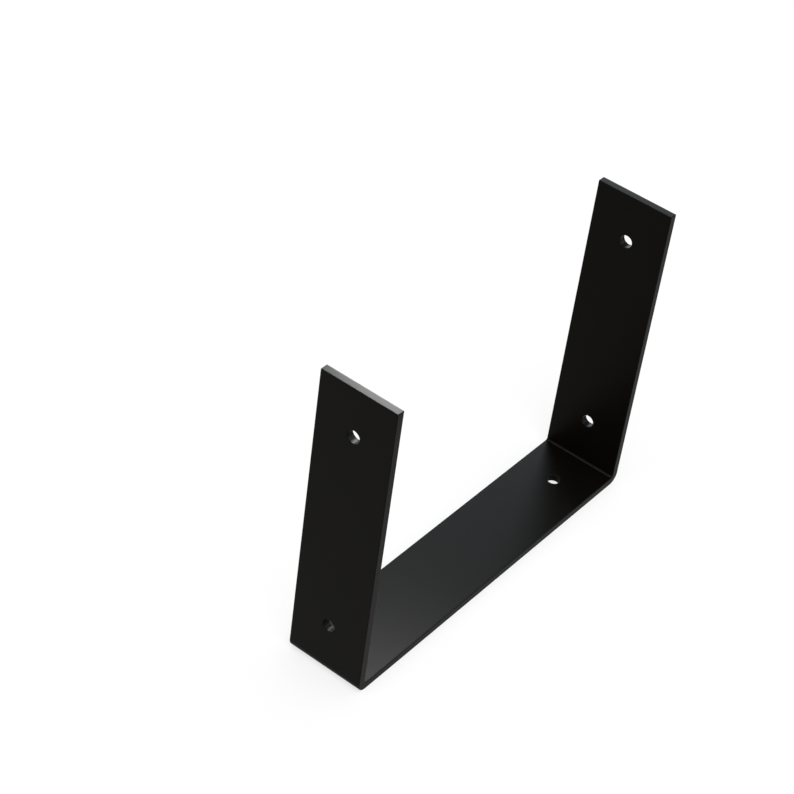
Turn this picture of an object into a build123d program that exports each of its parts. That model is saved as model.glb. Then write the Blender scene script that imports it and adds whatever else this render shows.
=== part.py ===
from build123d import *

import os

# A U bracket, folded cold from one length of flat steel bar: a base with a leg standing up
# from each end, and six plain round holes to screw or bolt it down.
# Millimetres. The origin is the middle of the underside. +X runs along the base, +Y across
# the bar and +Z up the legs.

# The bar
bar_width = 50.0
bar_thickness = 5.0
edge_radius = 0.4  # eased edges, all round the bar

# The fold
base_length = 250.0  # over the outer faces of the two legs
leg_height = 200.0  # from the underside to the end of a leg
inside_bend_radius = 1.5

# The holes, all of one size and on the centre line of the bar
hole_diameter = 8.0
hole_edge_break = 0.3  # chamfer at both mouths of a hole
top_hole_from_leg_end = 30.0
low_hole_from_underside = 35.0
base_hole_from_leg = 32.5  # from the outer face of the nearer leg

leg_outer_x = base_length / 2
outside_bend_radius = inside_bend_radius + bar_thickness

with BuildPart() as u_bracket:
    # The outer face of the folded bar, in side view: down one leg, along the underside and
    # up the other leg. The bar's thickness lies inside this line and its width across it.
    with BuildLine(Plane.XZ.offset(-bar_width / 2)):
        FilletPolyline(
            (-leg_outer_x, leg_height),
            (-leg_outer_x, 0),
            (leg_outer_x, 0),
            (leg_outer_x, leg_height),
            radius=outside_bend_radius,
        )
    make_brake_formed(bar_thickness, station_widths=bar_width, side=Side.RIGHT)

    # The bar's long edges are eased right round the bends, and so are the sawn ends of the
    # legs. The seams where a bend runs into a flat are tangent, and stay as they are.
    bar_sides = faces().filter_by(Axis.Y)
    leg_ends = faces().filter_by(Axis.Z).group_by(Axis.Z)[-1]
    fillet(bar_sides.edges() + leg_ends.edges().filter_by(Axis.Y), radius=edge_radius)

    # The legs are drilled alike, on shared centres, so one cut passes through both.
    with Locations(Plane.YZ):
        with Locations(
            (0, low_hole_from_underside), (0, leg_height - top_hole_from_leg_end)
        ):
            Hole(hole_diameter / 2)

    # The base has one hole near each leg.
    with GridLocations(base_length - 2 * base_hole_from_leg, 0, 2, 1):
        Hole(hole_diameter / 2)

    # Only the holes leave closed inner wires in the flat faces: their mouths.
    flats = faces().filter_by(GeomType.PLANE)
    hole_mouths = [edge for flat in flats for edge in flat.inner_wires().edges()]
    chamfer(hole_mouths, length=hole_edge_break)

u_bracket.part.label = "u_bracket"

os.makedirs("parts", exist_ok=True)
export_step(u_bracket.part, "parts/u_bracket.step")
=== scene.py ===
import math

import bpy
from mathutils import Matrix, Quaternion, Vector


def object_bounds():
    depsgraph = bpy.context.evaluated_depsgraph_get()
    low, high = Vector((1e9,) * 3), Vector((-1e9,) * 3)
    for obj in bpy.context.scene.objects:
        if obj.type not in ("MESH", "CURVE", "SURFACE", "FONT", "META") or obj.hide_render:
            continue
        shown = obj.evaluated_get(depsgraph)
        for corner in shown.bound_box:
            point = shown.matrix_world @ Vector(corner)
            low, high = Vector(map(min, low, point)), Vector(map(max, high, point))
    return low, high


# A U bracket of folded flat bar in satin black powder coat, on a white studio floor.
# Metres, in the frame of the CAD model: +X along the base, +Y across the bar, +Z up.
# The CAD solid has the bracket's whole shape, so it gets a finish here and no added pieces.

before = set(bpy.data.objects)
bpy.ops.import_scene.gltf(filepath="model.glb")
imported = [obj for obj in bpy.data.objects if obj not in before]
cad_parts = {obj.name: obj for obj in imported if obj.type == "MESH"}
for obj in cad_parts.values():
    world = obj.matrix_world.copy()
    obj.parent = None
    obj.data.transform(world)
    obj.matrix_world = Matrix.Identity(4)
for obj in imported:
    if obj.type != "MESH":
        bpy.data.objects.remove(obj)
cad_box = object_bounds()
low, high = cad_box
middle = (low + high) / 2
reach = (high - low).length


def direction(azimuth, elevation):
    """The unit vector towards a place seen from the bracket. Azimuth 0 is -Y and 90 is +X."""
    a, e = math.radians(azimuth), math.radians(elevation)
    return Vector((math.sin(a) * math.cos(e), -math.cos(a) * math.cos(e), math.sin(e)))


def new_material(name):
    """A node material with an empty tree, and the tree's nodes and links."""
    material = bpy.data.materials.new(name)
    material.use_nodes = True
    material.node_tree.nodes.clear()
    return material, material.node_tree.nodes, material.node_tree.links


# ---------------------------------------------------------------- powder coat

# What the coat reflects straight on, where 0.5 is ordinary paint. In the photograph the
# upright faces mirror something dark. This floor and surround are white, so it is low.
COAT_SPECULAR = 0.04
COAT_DARKEST = (0.0015, 0.0012, 0.0008, 1)
COAT_LIGHTEST = (0.0023, 0.0018, 0.0012, 1)
COAT_ROUGHNESS = (0.39, 0.41)

# Size of the features across, in metres
TONE_PATCH = 0.012
GLOSS_PATCH = 0.006
PEEL_WAVE = 0.0016
GRAIN_SPECK = 0.00025


def noise(nodes, links, coordinates, feature, detail=2.0):
    """Noise whose features are about that large, in metres."""
    node = nodes.new("ShaderNodeTexNoise")
    node.inputs["Scale"].default_value = 1 / feature
    node.inputs["Detail"].default_value = detail
    node.inputs["Roughness"].default_value = 0.5
    links.new(coordinates, node.inputs["Vector"])
    return node.outputs["Fac"]


def spread(nodes, links, value, lowest, highest):
    """Maps noise, which stays near the middle of 0 to 1, onto the range given."""
    node = nodes.new("ShaderNodeMapRange")
    node.inputs["From Min"].default_value = 0.3
    node.inputs["From Max"].default_value = 0.7
    node.inputs["To Min"].default_value = lowest
    node.inputs["To Max"].default_value = highest
    links.new(value, node.inputs["Value"])
    return node.outputs["Result"]


def bump(nodes, links, height, depth, strength):
    """A bump of that depth, in metres."""
    node = nodes.new("ShaderNodeBump")
    node.inputs["Strength"].default_value = strength
    node.inputs["Distance"].default_value = depth
    links.new(height, node.inputs["Height"])
    return node


def powder_coat():
    """Smooth satin black powder coat: faint orange peel, finer grain and uneven gloss."""
    material, nodes, links = new_material("powder_coat")
    output = nodes.new("ShaderNodeOutputMaterial")
    shader = nodes.new("ShaderNodeBsdfPrincipled")
    shader.inputs["Specular IOR Level"].default_value = COAT_SPECULAR
    links.new(shader.outputs["BSDF"], output.inputs["Surface"])
    place = nodes.new("ShaderNodeTexCoord").outputs["Object"]

    tone = nodes.new("ShaderNodeMix")
    tone.data_type = "RGBA"
    tone.inputs["A"].default_value = COAT_DARKEST
    tone.inputs["B"].default_value = COAT_LIGHTEST
    links.new(noise(nodes, links, place, TONE_PATCH), tone.inputs["Factor"])
    links.new(tone.outputs["Result"], shader.inputs["Base Color"])

    gloss = noise(nodes, links, place, GLOSS_PATCH, detail=4.0)
    links.new(spread(nodes, links, gloss, *COAT_ROUGHNESS), shader.inputs["Roughness"])

    peel = bump(nodes, links, noise(nodes, links, place, PEEL_WAVE), 0.000012, 0.25)
    grain = bump(nodes, links, noise(nodes, links, place, GRAIN_SPECK), 0.000004, 0.2)
    links.new(peel.outputs["Normal"], grain.inputs["Normal"])
    links.new(grain.outputs["Normal"], shader.inputs["Normal"])
    return material


def dress_bracket():
    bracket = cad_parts["u_bracket"]
    bracket.data.materials.clear()
    bracket.data.materials.append(powder_coat())


# ---------------------------------------------------------------- floor and surround

FLOOR_COLOUR = (0.9, 0.9, 0.9, 1)
FLOOR_WHITE_SHARE = 0.7  # of what is seen of the floor; the rest is lit, and takes the shadow


def seen_ray(nodes, links):
    """1 on the rays that show a surface: seen, mirrored or seen through; 0 on the rest."""
    path = nodes.new("ShaderNodeLightPath")
    total = path.outputs["Is Camera Ray"]
    for ray in ("Is Glossy Ray", "Is Transmission Ray"):
        either = nodes.new("ShaderNodeMath")
        either.operation = "MAXIMUM"
        links.new(total, either.inputs[0])
        links.new(path.outputs[ray], either.inputs[1])
        total = either.outputs["Value"]
    return total


def white_floor():
    """A pale matt floor, most of which shows as plain white, so the shadow is faint."""
    material, nodes, links = new_material("white_floor")
    output = nodes.new("ShaderNodeOutputMaterial")
    matt = nodes.new("ShaderNodeBsdfDiffuse")
    matt.inputs["Color"].default_value = FLOOR_COLOUR
    white = nodes.new("ShaderNodeEmission")
    white.inputs["Strength"].default_value = 1.0
    share = nodes.new("ShaderNodeMath")
    share.operation = "MULTIPLY"
    share.inputs[1].default_value = FLOOR_WHITE_SHARE
    links.new(seen_ray(nodes, links), share.inputs[0])
    both = nodes.new("ShaderNodeMixShader")
    links.new(share.outputs["Value"], both.inputs["Fac"])
    links.new(matt.outputs["BSDF"], both.inputs[1])
    links.new(white.outputs["Emission"], both.inputs[2])
    links.new(both.outputs["Shader"], output.inputs["Surface"])
    return material


def lay_floor():
    bpy.ops.mesh.primitive_plane_add(size=reach * 60, location=(0, 0, low.z))
    floor = bpy.context.object
    floor.name = "floor"
    floor.data.materials.append(white_floor())


def light_world():
    """Even, soft light from all round at the level of plain white, which is how it shows."""
    world = bpy.data.worlds.new("studio")
    bpy.context.scene.world = world
    world.use_nodes = True
    nodes, links = world.node_tree.nodes, world.node_tree.links
    nodes.clear()
    output = nodes.new("ShaderNodeOutputWorld")
    surround = nodes.new("ShaderNodeBackground")
    surround.inputs["Color"].default_value = (1, 1, 1, 1)
    surround.inputs["Strength"].default_value = 1.0
    links.new(surround.outputs["Background"], output.inputs["Surface"])


# ---------------------------------------------------------------- lamps

NEUTRAL = (1, 1, 1)
COOL = (0.90, 1.0, 1.07)


def add_softbox(name, target, azimuth, elevation, distance, side, radiance, colour):
    """A square lamp facing the target. Its front is radiance times as bright as plain white."""
    lamp = bpy.data.lights.new(name, "AREA")
    lamp.shape = "SQUARE"
    lamp.size = side
    lamp.color = colour
    lamp.energy = radiance * math.pi * side**2
    holder = bpy.data.objects.new(name, lamp)
    bpy.context.scene.collection.objects.link(holder)
    holder.visible_camera = False
    towards = direction(azimuth, elevation)
    holder.location = target + towards * distance
    holder.rotation_mode = "QUATERNION"
    holder.rotation_quaternion = towards.to_track_quat("Z", "Y")
    return holder


def add_sheen(*softbox):
    """A softbox that shows in gloss only, so the light on the bracket keeps its plain level."""
    add_softbox(*softbox).visible_diffuse = False


def hang_lamps():
    left_leg_end = Vector((low.x, 0, high.z))
    add_sheen("end_lamp", left_leg_end, 111, 23, 0.179, 0.10, 79.0, NEUTRAL)
    add_sheen("back_softbox", middle, 126, 14, 1.5, 0.8, 9.3, COOL)
    add_softbox("key_softbox", middle, -30, 62, 2.0, 1.0, 4.0, NEUTRAL)
    # These give the base its sheen when it is seen from the other sides.
    add_sheen("back_left_sheen", middle, -135, 30, 1.5, 0.8, 7.0, COOL)
    add_sheen("front_left_sheen", middle, -35, 30, 1.5, 0.8, 7.0, COOL)
    add_sheen("front_right_sheen", middle, 40, 30, 1.5, 0.8, 7.0, COOL)


# ---------------------------------------------------------------- camera

def add_camera():
    """A long lens looking down on the left leg's outer face, with a slight roll."""
    camera = bpy.data.objects.new("camera", bpy.data.cameras.new("camera"))
    bpy.context.scene.collection.objects.link(camera)
    bpy.context.scene.camera = camera
    camera.data.sensor_width = 36
    camera.data.lens = 104.0
    aim = middle + Vector((-0.0211, 0.0463, 0.0080))
    camera.location = middle + direction(-59.35, 39.83) * 1.2777
    camera.rotation_mode = "QUATERNION"
    roll = Quaternion((0, 0, 1), math.radians(8.18))
    camera.rotation_quaternion = (camera.location - aim).to_track_quat("Z", "Y") @ roll


bpy.context.scene.view_settings.view_transform = "Standard"
dress_bracket()
lay_floor()
light_world()
hang_lamps()
add_camera()
